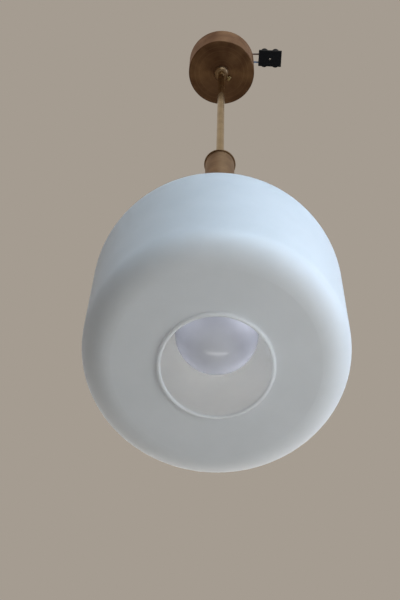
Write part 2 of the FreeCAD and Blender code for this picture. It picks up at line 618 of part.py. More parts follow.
# ---------------------------------------------------------------- write every node
def nodes():
    made = {
        "hanger": hanger(),
        "hanger_nuts": hanger_nuts(),
        "stem": stem(),
        "stem_bush": stem_bush(),
        "ceiling_cup": ceiling_cup(),
        "cup_collar": cup_collar(),
        "cup_lock_screw": cup_lock_screw(),
        "sleeve_cap": sleeve_cap(),
        "neck_sleeve": neck_sleeve(),
        "sleeve_foot": sleeve_foot(),
        "gallery_nuts": gallery_nuts(),
        "gallery_washers": gallery_washers(),
        "gallery": gallery(),
        "gallery_gasket": gallery_gasket(),
        "glass_drum": glass_drum(),
        "holder_cap": holder_cap(),
        "holder_skirt": holder_skirt(),
        "holder_core": holder_core(),
        "holder_shell": holder_shell(),
        "holder_contact": holder_contact(),
        "holder_terminals": holder_terminals(),
        "holder_screws": holder_screws(),
        "bulb_globe": bulb_globe(),
        "bulb_cap": bulb_cap(),
        "bulb_insulator": bulb_insulator(),
        "bulb_contact": bulb_contact(),
        "bulb_mount": bulb_mount(),
        "bulb_filament": bulb_filament(),
        "lead_brown": inner_lead(-1, "lead_brown"),
        "lead_blue": inner_lead(1, "lead_blue"),
        "tail_brown": tube_along(TAIL_BROWN, LEAD_R, "tail_brown"),
        "tail_blue": tube_along(TAIL_BLUE, LEAD_R, "tail_blue"),
        "block_body": block_body(),
        "block_barrels": block_barrels(),
        "block_screws": block_screws(),
    }
    for i, angle in enumerate(thumb_angles(), start=1):
        made[f"thumbscrew_{i}"] = thumbscrew(angle)
    return made


def main():
    os.makedirs("parts", exist_ok=True)
    for name, shape in nodes().items():
        shapes = shape if isinstance(shape, list) else [shape]
        solids = [solid for one in shapes for solid in one.Solids]
        whole = Part.makeCompound(solids) if len(solids) > 1 else solids[0]
        box = whole.BoundBox
        print(name, "solids", len(solids), "valid", whole.isValid(), "z", round(box.ZMin, 1), round(box.ZMax, 1))
        whole.exportStep(f"parts/{name}.step")
    print("lip", round(LIP_Z, 2), "glass face", round(GLASS_FACE_Z, 2), "stem", round(STEM_LOW_Z, 2), STEM_TOP_Z)
    print("gallery top", GALLERY_TOP_Z, "cap top", CAP_TOP_Z, "cup face", CUP_FACE_Z, "holder top", HOLDER_BOSS_Z)
    print("screw heights", THUMB_Z, lock_screw_z(), "bulb centre", BULB_CENTRE_Z, "bulb cap", LAMP_CAP_Z)


main()
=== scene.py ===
# %% [markdown]
# # A pendant light of opal glass and brass
#
# The engineering model comes first, as a fixed frame: every part already has its true size and place, in
# metres, with the hanging eye's centre as the origin and Z pointing up. Blender adds what an engineer's
# model leaves out. That is finish, wear, threads, knurling, and the two soft leads at the top. Nothing below
# moves a part of the frame.

# %% Load the frame
import math

import bpy
import bmesh
import json
from mathutils import Matrix, Vector


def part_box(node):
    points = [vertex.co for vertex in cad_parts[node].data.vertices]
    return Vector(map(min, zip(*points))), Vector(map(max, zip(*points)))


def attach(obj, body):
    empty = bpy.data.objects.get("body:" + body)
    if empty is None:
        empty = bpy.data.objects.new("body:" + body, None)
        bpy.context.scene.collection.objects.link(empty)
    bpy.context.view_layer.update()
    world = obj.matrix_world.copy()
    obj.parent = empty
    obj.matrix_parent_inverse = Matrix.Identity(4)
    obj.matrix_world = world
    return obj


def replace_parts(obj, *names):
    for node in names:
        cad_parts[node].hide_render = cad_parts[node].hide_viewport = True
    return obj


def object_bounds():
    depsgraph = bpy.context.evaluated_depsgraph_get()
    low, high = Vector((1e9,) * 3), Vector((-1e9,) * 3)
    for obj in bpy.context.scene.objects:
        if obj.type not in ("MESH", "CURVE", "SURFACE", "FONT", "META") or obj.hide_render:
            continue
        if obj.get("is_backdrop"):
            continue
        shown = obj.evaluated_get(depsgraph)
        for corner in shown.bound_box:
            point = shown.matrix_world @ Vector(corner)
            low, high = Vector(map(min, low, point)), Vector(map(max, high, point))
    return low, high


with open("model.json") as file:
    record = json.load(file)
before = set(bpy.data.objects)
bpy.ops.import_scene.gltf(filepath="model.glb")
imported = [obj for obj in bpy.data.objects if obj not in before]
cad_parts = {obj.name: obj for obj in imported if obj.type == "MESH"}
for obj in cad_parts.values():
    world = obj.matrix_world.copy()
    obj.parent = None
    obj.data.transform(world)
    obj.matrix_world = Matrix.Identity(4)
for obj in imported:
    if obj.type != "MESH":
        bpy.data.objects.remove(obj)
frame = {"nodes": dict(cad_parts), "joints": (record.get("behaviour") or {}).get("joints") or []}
nodes = frame["nodes"]
cad_box = [list(corner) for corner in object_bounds()]
MM = 0.001
print(len(nodes), "parts,", round(cad_box[1][2] - cad_box[0][2], 3), "m tall")

# %% [markdown]
# ## Where the viewer stands
#
# The viewer is below the light and looks up at it past the rim of the glass, so the mouth of the shade, the
# lamp in it and the underside of the ceiling cup all show at once. A camera could be aimed at a target
# object, but a small roll of the head is easier to keep if the three directions of the camera are worked out
# and put in its matrix. A lens longer than the usual one keeps the tall light from tapering too much.

# %% Camera
LENS = 90.0
LOOK_UP = math.radians(65.12)
HEAD_ROLL = math.radians(-2.46)
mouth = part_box("glass_drum")[0].z
viewpoint = Vector((-17.4 * MM, -630.3 * MM, mouth - 1214.1 * MM))

ahead = Vector((0, math.cos(LOOK_UP), math.sin(LOOK_UP)))
upward = Vector((0, -math.sin(LOOK_UP), math.cos(LOOK_UP)))
sideways = Vector((1, 0, 0))
across = sideways * math.cos(HEAD_ROLL) - upward * math.sin(HEAD_ROLL)
above = sideways * math.sin(HEAD_ROLL) + upward * math.cos(HEAD_ROLL)

lens = bpy.data.cameras.new("camera")
lens.lens = LENS
lens.sensor_width = 36.0
lens.clip_start = 0.05
camera = bpy.data.objects.new("camera", lens)
bpy.context.scene.collection.objects.link(camera)
turned = Matrix((across, above, -ahead)).transposed().to_4x4()
camera.matrix_world = Matrix.Translation(viewpoint) @ turned
bpy.context.scene.camera = camera
print("camera", [round(v, 3) for v in viewpoint])

# %% [markdown]
# ## The two tails
#
# A tail is a short length of single-core lead with a thick plastic skin. It stands straight out of the
# stem's mouth, bends over the rim of the cup and ends in the terminal block. A round wire can be a mesh
# swept along points, but a NURBS curve with a bevel stays smooth at any size and keeps its own length. Its
# points are the handles of the bend, so the wire runs close by them and not through them.

# %% Tails of the leads
LEAD_D = 2.4 * MM
BROWN_WAY = [(0, -1.6, -44), (0, -1.6, -32), (8, -2, -15), (27, -2.9, 4), (49, -3.5, 14), (69, -3.5, 14)]
BLUE_WAY = [(0, 1.6, -44), (0, 1.6, -32), (8, 2.5, -15), (27, 6.6, 4), (49, 9.5, 14), (69, 9.5, 14)]


def lay_tail(name, way):
    curve = bpy.data.curves.new(name, "CURVE")
    curve.dimensions = "3D"
    curve.bevel_depth = 1.0  # times each point's own radius, which also keeps the curve's measured box true
    curve.bevel_resolution = 6
    curve.resolution_u = 24
    curve.use_fill_caps = True
    spline = curve.splines.new("NURBS")
    spline.points.add(len(way) - 1)
    for point, place in zip(spline.points, way):
        point.co = (place[0] * MM, place[1] * MM, place[2] * MM, 1.0)
        point.radius = LEAD_D / 2
    spline.order_u = 3
    spline.use_endpoint_u = True
    tail = bpy.data.objects.new(name, curve)
    bpy.context.scene.collection.objects.link(tail)
    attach(tail, "lamp")
    return tail


brown_tail = lay_tail("brown_tail", BROWN_WAY)
blue_tail = lay_tail("blue_tail", BLUE_WAY)
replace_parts(brown_tail, "tail_brown")
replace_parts(blue_tail, "tail_blue")
print("tails laid from the stem's mouth to the terminal block")

# %% [markdown]
# ## Mixing colours and wiring materials
#
# A colour picked on a screen is in sRGB, and the renderer works in linear light, so one function converts
# it. A second one adds a node to a material or to the world, sets its values and links its inputs.
# Everything below is wired with these.

# %% Colour and node helpers
def colour(code):
    """An sRGB hex colour as linear red, green, blue and alpha."""
    parts = [int(code[i : i + 2], 16) / 255 for i in (1, 3, 5)]
    linear = [c / 12.92 if c <= 0.04045 else ((c + 0.055) / 1.055) ** 2.4 for c in parts]
    return (*linear, 1.0)


def add(owner, kind, links=None, **settings):
    """Adds a node to a material or the world.

    settings are its properties, or input values by name. links are inputs by name or number.
    """
    node = owner.node_tree.nodes.new(kind)
    for key, value in settings.items():
        if hasattr(node, key):
            setattr(node, key, value)
        else:
            node.inputs[key.replace("_", " ")].default_value = value
    for key, source in (links or {}).items():
        owner.node_tree.links.new(source, node.inputs[key])
    return node


def new_material(name):
    """An empty material with a surface shader, which is returned beside it."""
    material = bpy.data.materials.new(name)
    material.use_nodes = True
    return material, material.node_tree.nodes["Principled BSDF"]


def link(material, source, target):
    material.node_tree.links.new(source, target)


print("a mid grey", [round(c, 3) for c in colour("#808080")])

# %% [markdown]
# ## Tool marks on turned and drawn metal
#
# A lathe leaves rings: the surface is the same all the way round, and changes only with the distance from
# the axis and with the height. So the rings come from noise that is read at those two numbers. A drawn tube
# has the opposite marks: long scratches along its length that change only round the tube. Real tool marks
# are about 0.1 mm apart, too fine to show from here, so both are drawn about 0.6 or 0.7 mm apart.

# %% Tool marks
RING_PITCH = 0.6 * MM
SCRATCH_PITCH = 0.7 * MM
SCRATCH_STRETCH = 0.012  # noise is read this much slower along the tube, which draws out scratches


def turned_marks(material, pitch):
    """Noise that goes round the Z axis: it changes with the radius and the height only."""
    place = add(material, "ShaderNodeTexCoord")
    split = add(material, "ShaderNodeSeparateXYZ", {0: place.outputs["Object"]})
    flat = add(material, "ShaderNodeCombineXYZ", {"X": split.outputs["X"], "Y": split.outputs["Y"]})
    radius = add(material, "ShaderNodeVectorMath", {0: flat.outputs[0]}, operation="LENGTH")
    spot = add(material, "ShaderNodeCombineXYZ", {"X": radius.outputs["Value"], "Y": split.outputs["Z"]})
    return add(material, "ShaderNodeTexNoise", {"Vector": spot.outputs[0]}, Scale=1 / pitch, Detail=3.0)


def drawn_marks(material, pitch):
    """Noise in long streaks along Z."""
    place = add(material, "ShaderNodeTexCoord")
    stretch = add(material, "ShaderNodeMapping", {"Vector": place.outputs["Object"]})
    stretch.inputs["Scale"].default_value = (1.0, 1.0, SCRATCH_STRETCH)
    return add(material, "ShaderNodeTexNoise", {"Vector": stretch.outputs[0]}, Scale=1 / pitch, Detail=3.0)


print("rings", round(RING_PITCH / MM, 1), "mm apart, scratches", round(SCRATCH_PITCH / MM, 1), "mm")

# %% [markdown]
# ## Aged brass
#
# The visible metal is brass that was turned or drawn, dipped to darken it, brushed back and lacquered. The
# dip leaves soft clouds of brown over the yellow metal, and the lacquer makes the shine satin. Brass could
# be a plain metal colour, but the clouds and the tool marks are what the eye knows it by, so both drive the
# colour and the roughness, and the tool marks also make a very shallow bump. Fine rings stretch a reflection
# across themselves, which is what the anisotropic value does.

# %% Aged brass
BROWN_DIP = "#7C5F46"
CLEAN_BRASS = "#A88864"
CLOUD = 22 * MM  # a patch of darker dip is about this wide
MARK_DEPTH = 0.05 * MM
WEAR = 0.07  # how much rougher the dark dip is than its mean, and how much smoother the brushed metal
QUARTER_TURN = 0.25  # turns the streak from along the rings to across them
SHADE_EDGE = 0.6 * MM
SHADE_END = 2.0 * MM


def aged_brass(name, marks, dark, light, roughness, streak, face=None):
    """face is (height, share): painted shade on the cup's downward face, which stands for the dark room that
    it mirrors.

    Brass up to SHADE_EDGE above that height keeps that share of its colour, and all of it from SHADE_END on.
    """
    material, surface = new_material(name)
    tool = marks(material, RING_PITCH if marks is turned_marks else SCRATCH_PITCH)
    place = add(material, "ShaderNodeTexCoord")
    spot = place.outputs["Object"]
    cloud = add(material, "ShaderNodeTexNoise", {"Vector": spot}, Scale=1 / CLOUD, Detail=5.0)
    both = add(material, "ShaderNodeMix", {"A": cloud.outputs["Fac"], "B": tool.outputs["Fac"]}, Factor=0.45)
    tint = add(material, "ShaderNodeValToRGB", {"Fac": both.outputs["Result"]})
    tint.color_ramp.elements[0].position = 0.36
    tint.color_ramp.elements[0].color = colour(dark)
    tint.color_ramp.elements[1].position = 0.66
    tint.color_ramp.elements[1].color = colour(light)
    shine = add(
        material, "ShaderNodeMapRange", {"Value": both.outputs["Result"]},
        From_Min=0.3, From_Max=0.7, To_Min=roughness + WEAR, To_Max=roughness - WEAR,
    )
    relief = add(
        material, "ShaderNodeBump", {"Height": tool.outputs["Fac"]}, Strength=0.12, Distance=MARK_DEPTH,
    )
    painted = tint.outputs["Color"]
    # Painted shade: the cup's downward face keeps only a share of its colour, standing for the dark room it
    # mirrors.
    if face:
        bottom, share = face
        height = add(material, "ShaderNodeSeparateXYZ", {0: spot})
        face_shade = add(
            material, "ShaderNodeMapRange", {"Value": height.outputs["Z"]},
            From_Min=bottom + SHADE_EDGE, From_Max=bottom + SHADE_END, To_Min=share,
        )
        scaled = {0: painted, 3: face_shade.outputs["Result"]}
        painted = add(material, "ShaderNodeVectorMath", scaled, operation="SCALE").outputs["Vector"]
    link(material, painted, surface.inputs["Base Color"])
    link(material, shine.outputs["Result"], surface.inputs["Roughness"])
    link(material, relief.outputs["Normal"], surface.inputs["Normal"])
    surface.inputs["Metallic"].default_value = 1.0
    if streak:
        grain = add(material, "ShaderNodeTangent", direction_type="RADIAL", axis="Z")
        link(material, grain.outputs["Tangent"], surface.inputs["Tangent"])
        surface.inputs["Anisotropic"].default_value = streak
        surface.inputs["Anisotropic Rotation"].default_value = QUARTER_TURN
    return material


turned_brass = aged_brass("aged_turned_brass", turned_marks, BROWN_DIP, CLEAN_BRASS, 0.42, 0.4)
cup_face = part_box("ceiling_cup")[0].z
# The cup's face gets painted shade and keeps 0.60 of its colour, standing for the dark room it mirrors.
cup_brass = aged_brass(
    "cup_brass_painted_shade", turned_marks, "#77523A", "#A87E5A", 0.40, 0.7, (cup_face, 0.60),
)
sleeve_brass = aged_brass("aged_sleeve_brass", turned_marks, "#84664C", "#B2906C", 0.42, 0.3)
drawn_brass = aged_brass("aged_drawn_brass", drawn_marks, "#80624A", "#B08D69", 0.34, 0.0)
tube_brass = aged_brass("lacquered_brass_tube", drawn_marks, "#B8A078", "#D6BF94", 0.16, 0.0)
screw_brass = aged_brass("aged_screw_brass", turned_marks, "#8A6F4A", "#B99E6C", 0.32, 0.0)
print("aged brass for the turned, drawn and dipped pieces")

# %% [markdown]
# ## Bright brass, zinc and nickel
#
# Nuts, washers, terminals and the lampholder's shell were never darkened: they are bright turned brass.
# Screws are steel with a thin bluish zinc coat, whose fine crystals break up the shine, and the lamp's cap
# is nickel. The filament is tungsten wire. One function wires all four, because they differ only in colour,
# shine and the size of their grain.

# %% Bright metals
GRAIN_DEPTH = 0.02 * MM


def bright_metal(name, dark, light, roughness, grain):
    material, surface = new_material(name)
    place = add(material, "ShaderNodeTexCoord")
    spot = place.outputs["Object"]
    speck = add(material, "ShaderNodeTexNoise", {"Vector": spot}, Scale=1 / grain, Detail=4.0)
    tint = add(material, "ShaderNodeValToRGB", {"Fac": speck.outputs["Fac"]})
    tint.color_ramp.elements[0].position = 0.35
    tint.color_ramp.elements[0].color = colour(dark)
    tint.color_ramp.elements[1].position = 0.65
    tint.color_ramp.elements[1].color = colour(light)
    shine = add(
        material, "ShaderNodeMapRange", {"Value": speck.outputs["Fac"]},
        To_Min=roughness + 0.1, To_Max=roughness - 0.05,
    )
    relief = add(
        material, "ShaderNodeBump", {"Height": speck.outputs["Fac"]}, Strength=0.15, Distance=GRAIN_DEPTH,
    )
    link(material, tint.outputs["Color"], surface.inputs["Base Color"])
    link(material, shine.outputs["Result"], surface.inputs["Roughness"])
    link(material, relief.outputs["Normal"], surface.inputs["Normal"])
    surface.inputs["Metallic"].default_value = 1.0
    return material


bright_brass = bright_metal("bright_turned_brass", "#B0935A", "#D2B878", 0.3, 1.2 * MM)
zinc_steel = bright_metal("zinc_plated_steel", "#A9ABAC", "#C6C8C9", 0.35, 0.8 * MM)
nickel = bright_metal("nickel_plate", "#B9B6AE", "#D4D1C8", 0.25, 2.0 * MM)
tungsten = bright_metal("tungsten_wire", "#5C5C60", "#7C7C80", 0.4, 0.3 * MM)
print("bright metals")

# %% [markdown]
# ## Satin opal glass
#
# The drum is blown in a mould from milky glass, and acid etches its outside to a satin. Light that enters
# the wall is passed along inside it and comes out again some way off, so the shader scatters light under the
# surface over about four times the wall's thickness. That is what evens out the shade. The etch is a matt
# skin with a little shine left, and the blowing leaves very faint cloudy bands. A glass shader with fog
# inside would be truer and far slower, and would look much the same through a wall this milky.

# %% Opal glass
GLASS_WALL = 3.2 * MM
SCATTER = 4 * GLASS_WALL
BAND = 60 * MM  # the width of a cloudy band
ETCH = 0.8 * MM  # real etching is finer, and too fine to show from here
opal, surface = new_material("satin_opal_glass")
place = add(opal, "ShaderNodeTexCoord")
swirl = add(opal, "ShaderNodeTexNoise", {"Vector": place.outputs["Object"]}, Scale=1 / BAND, Detail=3.0)
etch = add(opal, "ShaderNodeTexNoise", {"Vector": place.outputs["Object"]}, Scale=1 / ETCH, Detail=2.0)
milk = add(opal, "ShaderNodeValToRGB", {"Fac": swirl.outputs["Fac"]})
milk.color_ramp.elements[0].position = 0.3
milk.color_ramp.elements[0].color = colour("#EEF0F0")
milk.color_ramp.elements[1].position = 0.7
milk.color_ramp.elements[1].color = colour("#F6F7F7")
skin = add(opal, "ShaderNodeMapRange", {"Value": etch.outputs["Fac"]}, To_Min=0.42, To_Max=0.56)
relief = add(opal, "ShaderNodeBump", {"Height": etch.outputs["Fac"]}, Strength=0.06, Distance=0.03 * MM)
link(opal, milk.outputs["Color"], surface.inputs["Base Color"])
link(opal, skin.outputs["Result"], surface.inputs["Roughness"])
link(opal, relief.outputs["Normal"], surface.inputs["Normal"])
surface.inputs["IOR"].default_value = 1.5
surface.inputs["Subsurface Weight"].default_value = 1.0
surface.inputs["Subsurface Radius"].default_value = (1.0, 0.98, 0.96)
surface.inputs["Subsurface Scale"].default_value = SCATTER
print("opal glass scatters over", round(SCATTER / MM, 1), "mm")

# %% [markdown]
# ## The lamp's glass
#
# The globe lamp is milky inside and smooth outside. It is much shinier than the drum around it and a little
# greyer, with a faint lavender cast where its inner coat is thin. Its wall is under a millimetre, so the
# coat is what shows. The small mount that holds the filament is clear glass, with a few seeds and ripples in
# it.

# %% Lamp glass
POWDER_PATCH = 18 * MM
SEED = 4 * MM
lamp_glass, surface = new_material("white_lamp_glass")
place = add(lamp_glass, "ShaderNodeTexCoord")
spot = place.outputs["Object"]
coat = add(lamp_glass, "ShaderNodeTexNoise", {"Vector": spot}, Scale=1 / POWDER_PATCH, Detail=3.0)
powder = add(lamp_glass, "ShaderNodeValToRGB", {"Fac": coat.outputs["Fac"]})
powder.color_ramp.elements[0].position = 0.3
powder.color_ramp.elements[0].color = colour("#DBDBE2")
powder.color_ramp.elements[1].position = 0.7
powder.color_ramp.elements[1].color = colour("#E2E2E9")
link(lamp_glass, powder.outputs["Color"], surface.inputs["Base Color"])
ripple = add(lamp_glass, "ShaderNodeBump", {"Height": coat.outputs["Fac"]}, Strength=0.03, Distance=0.2 * MM)
link(lamp_glass, ripple.outputs["Normal"], surface.inputs["Normal"])
surface.inputs["Roughness"].default_value = 0.12
surface.inputs["IOR"].default_value = 1.5

clear_glass, surface = new_material("clear_lamp_glass")
place = add(clear_glass, "ShaderNodeTexCoord")
seed = add(clear_glass, "ShaderNodeTexNoise", {"Vector": place.outputs["Object"]}, Scale=1 / SEED, Detail=2.0)
relief = add(clear_glass, "ShaderNodeBump", {"Height": seed.outputs["Fac"]}, Strength=0.1, Distance=0.1 * MM)
link(clear_glass, relief.outputs["Normal"], surface.inputs["Normal"])
surface.inputs["Base Color"].default_value = colour("#E9F0EE")
surface.inputs["Roughness"].default_value = 0.03
surface.inputs["IOR"].default_value = 1.5
surface.inputs["Transmission Weight"].default_value = 0.9
print("lamp glass, milky and clear")

# %% [markdown]
# ## Moulded and fired pieces
#
# The lampholder is black phenolic resin round a glazed porcelain disc, the terminal block is black nylon,
# the leads have a PVC skin, and a silicone ring seats the glass. All of them are one colour right through.
# What tells them apart is the shine and the size of the faint texture that the mould or the glaze left.

# %% Plastics, rubber and porcelain
def moulded(name, dark, light, roughness, texture, depth, coat_weight=0.0):
    material, surface = new_material(name)
    place = add(material, "ShaderNodeTexCoord")
    spot = place.outputs["Object"]
    skin = add(material, "ShaderNodeTexNoise", {"Vector": spot}, Scale=1 / texture, Detail=4.0)
    tint = add(material, "ShaderNodeValToRGB", {"Fac": skin.outputs["Fac"]})
    tint.color_ramp.elements[0].position = 0.35
    tint.color_ramp.elements[0].color = colour(dark)
    tint.color_ramp.elements[1].position = 0.65
    tint.color_ramp.elements[1].color = colour(light)
    shine = add(
        material, "ShaderNodeMapRange", {"Value": skin.outputs["Fac"]},
        To_Min=roughness - 0.06, To_Max=roughness + 0.08,
    )
    relief = add(material, "ShaderNodeBump", {"Height": skin.outputs["Fac"]}, Strength=0.2, Distance=depth)
    link(material, tint.outputs["Color"], surface.inputs["Base Color"])
    link(material, shine.outputs["Result"], surface.inputs["Roughness"])
    link(material, relief.outputs["Normal"], surface.inputs["Normal"])
    surface.inputs["IOR"].default_value = 1.5
    surface.inputs["Coat Weight"].default_value = coat_weight
    return material


phenolic = moulded("black_phenolic_moulding", "#1B1917", "#282522", 0.38, 0.7 * MM, 0.03 * MM)
black_nylon = moulded("black_nylon_moulding", "#0B0B0D", "#151518", 0.56, 0.5 * MM, 0.05 * MM)
porcelain = moulded("glazed_porcelain", "#DDD8CC", "#EAE6DB", 0.2, 3.0 * MM, 0.05 * MM, 0.5)
natural_nylon = moulded("natural_nylon", "#D2CBB8", "#E0DAC9", 0.45, 0.8 * MM, 0.03 * MM)
silicone = moulded("grey_silicone_rubber", "#8B8880", "#9B988F", 0.6, 0.6 * MM, 0.04 * MM)
base_glass = moulded("black_base_glass", "#101013", "#1A1A1E", 0.15, 2.0 * MM, 0.05 * MM, 0.3)
brown_pvc = moulded("brown_pvc_skin", "#4A2C1E", "#5B3828", 0.42, 0.9 * MM, 0.03 * MM)
blue_pvc = moulded("blue_pvc_skin", "#3C5678", "#4A6689", 0.42, 0.9 * MM, 0.03 * MM)
nylon_surface = black_nylon.node_tree.nodes["Principled BSDF"]
nylon_surface.inputs["Specular IOR Level"].default_value = 0.2  # its mould leaves a dull skin
print("plastics, rubber and porcelain")

# %% [markdown]
# ## Putting the finishes on
#
# Each part of the frame keeps its shape and gets its finish in its material slot. Sharp machined edges stay
# sharp, and anything round is already shaded smooth by the frame's own normals.

# %% Finishes of the frame's parts
finishes = {
    "hanger": drawn_brass, "hanger_nuts": bright_brass, "stem": tube_brass, "stem_bush": natural_nylon,
    "ceiling_cup": cup_brass, "cup_collar": turned_brass, "cup_lock_screw": screw_brass,
    "sleeve_cap": turned_brass, "neck_sleeve": sleeve_brass, "sleeve_foot": bright_brass,
    "gallery_nuts": bright_brass, "gallery_washers": bright_brass, "gallery": turned_brass,
    "gallery_gasket": silicone, "glass_drum": opal, "thumbscrew_1": screw_brass, "thumbscrew_2": screw_brass,
    "thumbscrew_3": screw_brass, "holder_cap": phenolic, "holder_skirt": phenolic, "holder_core": porcelain,
    "holder_shell": bright_brass, "holder_contact": bright_brass, "holder_terminals": bright_brass,
    "holder_screws": zinc_steel, "bulb_globe": lamp_glass, "bulb_cap": nickel, "bulb_insulator": base_glass,
    "bulb_contact": bright_brass, "bulb_mount": clear_glass, "bulb_filament": tungsten,
    "lead_brown": brown_pvc, "lead_blue": blue_pvc, "tail_brown": brown_pvc, "tail_blue": blue_pvc,
    "block_body": black_nylon, "block_barrels": bright_brass, "block_screws": zinc_steel,
}
for name, material in finishes.items():
    part = nodes[name]
    if not part.material_slots:
        part.data.materials.append(material)
    for held in part.material_slots:
        held.link = "OBJECT"
        held.material = material
brown_tail.data.materials.append(brown_pvc)
blue_tail.data.materials.append(blue_pvc)
print(len(finishes), "parts finished;", sorted(set(nodes) - set(finishes)), "left out")

# %% [markdown]
# ## Pieces made of rings
#
# A screw and a threaded cap are both a row of rings, one after another along an axis. Such a piece could be
# a plain shape with modifiers, but then its ridges couldn't follow a formula. Here the points of each ring
# are worked out first, and one function joins ring to ring into a closed mesh.

# %% Ring meshes
def mesh_piece(name, rings, material, body):
    """Joins rings of points, each with the same count, into one piece that moves with a body."""
    build = bmesh.new()
    rows = [[build.verts.new(point) for point in ring] for ring in rings]
    count = len(rows[0])
    for low, high in zip(rows, rows[1:]):
        for i in range(count):
            j = (i + 1) % count
            build.faces.new((low[i], low[j], high[j], high[i]))
    build.faces.new(list(reversed(rows[0])))
    build.faces.new(rows[-1])
    bmesh.ops.recalc_face_normals(build, faces=build.faces)
    mesh = bpy.data.meshes.new(name)
    build.to_mesh(mesh)
    build.free()
    mesh.materials.append(material)
    piece = bpy.data.objects.new(name, mesh)
    bpy.context.scene.collection.objects.link(piece)
    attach(piece, body)
    print(name, len(mesh.polygons), "faces")
    return piece


# %% [markdown]
# ## Knurled screw heads
#
# Screws that are turned by hand have a knurl: a wheel presses a pattern of small ridges into the head, so
# that fingers grip it. A bump in the material would leave the outline smooth, and the outline is where a
# knurl shows. So each head is a mesh of rings, in which every second point of a ring sits lower. The ends
# keep a plain bevel.

# %% Knurled screws
UP = Vector((0, 0, 1))
HEAD_BEVEL = 0.6 * MM
THUMB_SCREW = {"shank": 2.0 * MM, "head": 5.0 * MM, "head_length": 7.0 * MM, "depth": 0.35 * MM, "ridges": 24}
LOCK_SCREW = {"shank": 1.5 * MM, "head": 3.4 * MM, "head_length": 4.5 * MM, "depth": 0.28 * MM, "ridges": 18}
directions = {joint["name"]: joint["axis"] for joint in frame["joints"]}


def screw_profile(tip, end, shank, head, head_length, depth):
    """Lists (distance along the screw, radius, knurled or not), from the tip outwards."""
    start = end - head_length
    return [
        (tip, shank * 0.8, False), (tip + 0.3 * MM, shank, False), (start - 1.2 * MM, shank, False),
        (start - 1.1 * MM, head * 0.66, False), (start, head * 0.68, False),
        (start + 0.01 * MM, head - HEAD_BEVEL - depth, False), (start + HEAD_BEVEL, head, True),
        (end - 2 * HEAD_BEVEL, head, True), (end - HEAD_BEVEL, head - depth, False),
        (end - HEAD_BEVEL * 0.2, head - HEAD_BEVEL - depth, False), (end, head * 0.55, False),
    ]


def knurled_screw(name, node, body, way, shank, head, head_length, depth, ridges):
    """A screw that points at the Z axis, on the same span and at the same height as the frame's own."""
    along = Vector(way).normalized()
    side = along.cross(UP)
    low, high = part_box(node)
    level = UP * (low.z + high.z) / 2
    reaches = [v.co.dot(along) for v in nodes[node].data.vertices]
    rings = []
    for reach, radius, knurled in screw_profile(min(reaches), max(reaches), shank, head, head_length, depth):
        ring = []
        for i in range(2 * ridges):
            turn = math.pi * i / ridges
            r = radius - (depth if knurled and i % 2 else 0.0)
            ring.append(along * reach + level + (side * math.cos(turn) + UP * math.sin(turn)) * r)
        rings.append(ring)
    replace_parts(mesh_piece(name, rings, screw_brass, body), node)


for number in (1, 2, 3):
    way = directions[f"thumb_{number}_release"]
    knurled_screw(f"thumb_knob_{number}", f"thumbscrew_{number}", f"thumb_{number}", way, **THUMB_SCREW)
knurled_screw("lock_knob", "cup_lock_screw", "cup_lock", directions["cup_lock_release"], **LOCK_SCREW)
ridge_pitch = 2 * math.pi * THUMB_SCREW["head"] / THUMB_SCREW["ridges"]
print("four knurled screws; ridges", round(ridge_pitch / MM, 2), "mm apart on the larger heads")

# %% [markdown]
# ## The lamp cap's thread
#
# A lamp cap is thin metal rolled to a round, shallow thread. A true helix is easy as a grid: the radius at
# each point is a wave of the height less a share of the turn, so that the wave climbs one pitch per turn.
# The thread fades out at both ends, where the real cap is plain, and the top end draws in a little.

# %% Threaded lamp cap
PITCH = 3.629 * MM
THREAD_DEPTH = 0.85 * MM
RUN_IN = 8  # the thread is at full depth after an eighth of the cap's height
RUN_OUT = 6  # and fades over the last sixth
NECK_FROM = 0.93
NECK_IN = 1.3 * MM
HEIGHTS = 60
ROUND = 72
low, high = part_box("bulb_cap")
cap_r = (high.x - low.x) / 2
rings = []
for step in range(HEIGHTS + 1):
    share = step / HEIGHTS
    z = low.z + (high.z - low.z) * share
    fade = min(1.0, RUN_IN * share, RUN_OUT * (1 - share))
    taper = max(0.0, share - NECK_FROM) / (1 - NECK_FROM) * NECK_IN
    ring = []
    for i in range(ROUND):
        turn = 2 * math.pi * i / ROUND
        wave = 0.5 - 0.5 * math.cos(2 * math.pi * (z - low.z) / PITCH - turn)
        r = cap_r - THREAD_DEPTH * wave * fade - taper
        ring.append((r * math.cos(turn), r * math.sin(turn), z))
    rings.append(ring)
cap = mesh_piece("threaded_cap", rings, nickel, "bulb")
for face in cap.data.polygons:
    face.use_smooth = True
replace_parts(cap, "bulb_cap")
print("cap thread", round(PITCH / MM, 3), "mm pitch")

# %% [markdown]
# ## The filament
#
# Inside the globe a fine coil of tungsten hangs between two support wires. In the frame it is a plain rod.
# Here it is a helix of real wire, drawn as a curve with a small bevel, on the same span and at the same
# height.

# %% Coiled filament
WIRE = 0.12 * MM
COIL_R = 0.5 * MM
TURNS = 40
STEPS = 10
LEG_R = 0.3 * MM
LEG_AT_MOUNT = 1.4 * MM
LEG_INSET = 0.4 * MM  # how far the foot of a leg sits inside the coil's end
low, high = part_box("bulb_filament")


def wire_piece(name, roundness):
    """An empty round-wire curve in tungsten. Each point's radius is the wire's own."""
    curve = bpy.data.curves.new(name, "CURVE")
    curve.dimensions = "3D"
    curve.bevel_depth = 1.0
    curve.bevel_resolution = roundness
    curve.materials.append(tungsten)
    piece = bpy.data.objects.new(name, curve)
    bpy.context.scene.collection.objects.link(piece)
    return piece


coil = wire_piece("filament_coil", 1)
spline = coil.data.splines.new("POLY")
spline.points.add(TURNS * STEPS)
for i, point in enumerate(spline.points):
    x = low.x + WIRE + (high.x - low.x - 2 * WIRE) * i / (TURNS * STEPS)
    angle = 2 * math.pi * i / STEPS
    point.co = (x, COIL_R * math.cos(angle), low.z + COIL_R + WIRE + COIL_R * math.sin(angle), 1.0)
    point.radius = WIRE

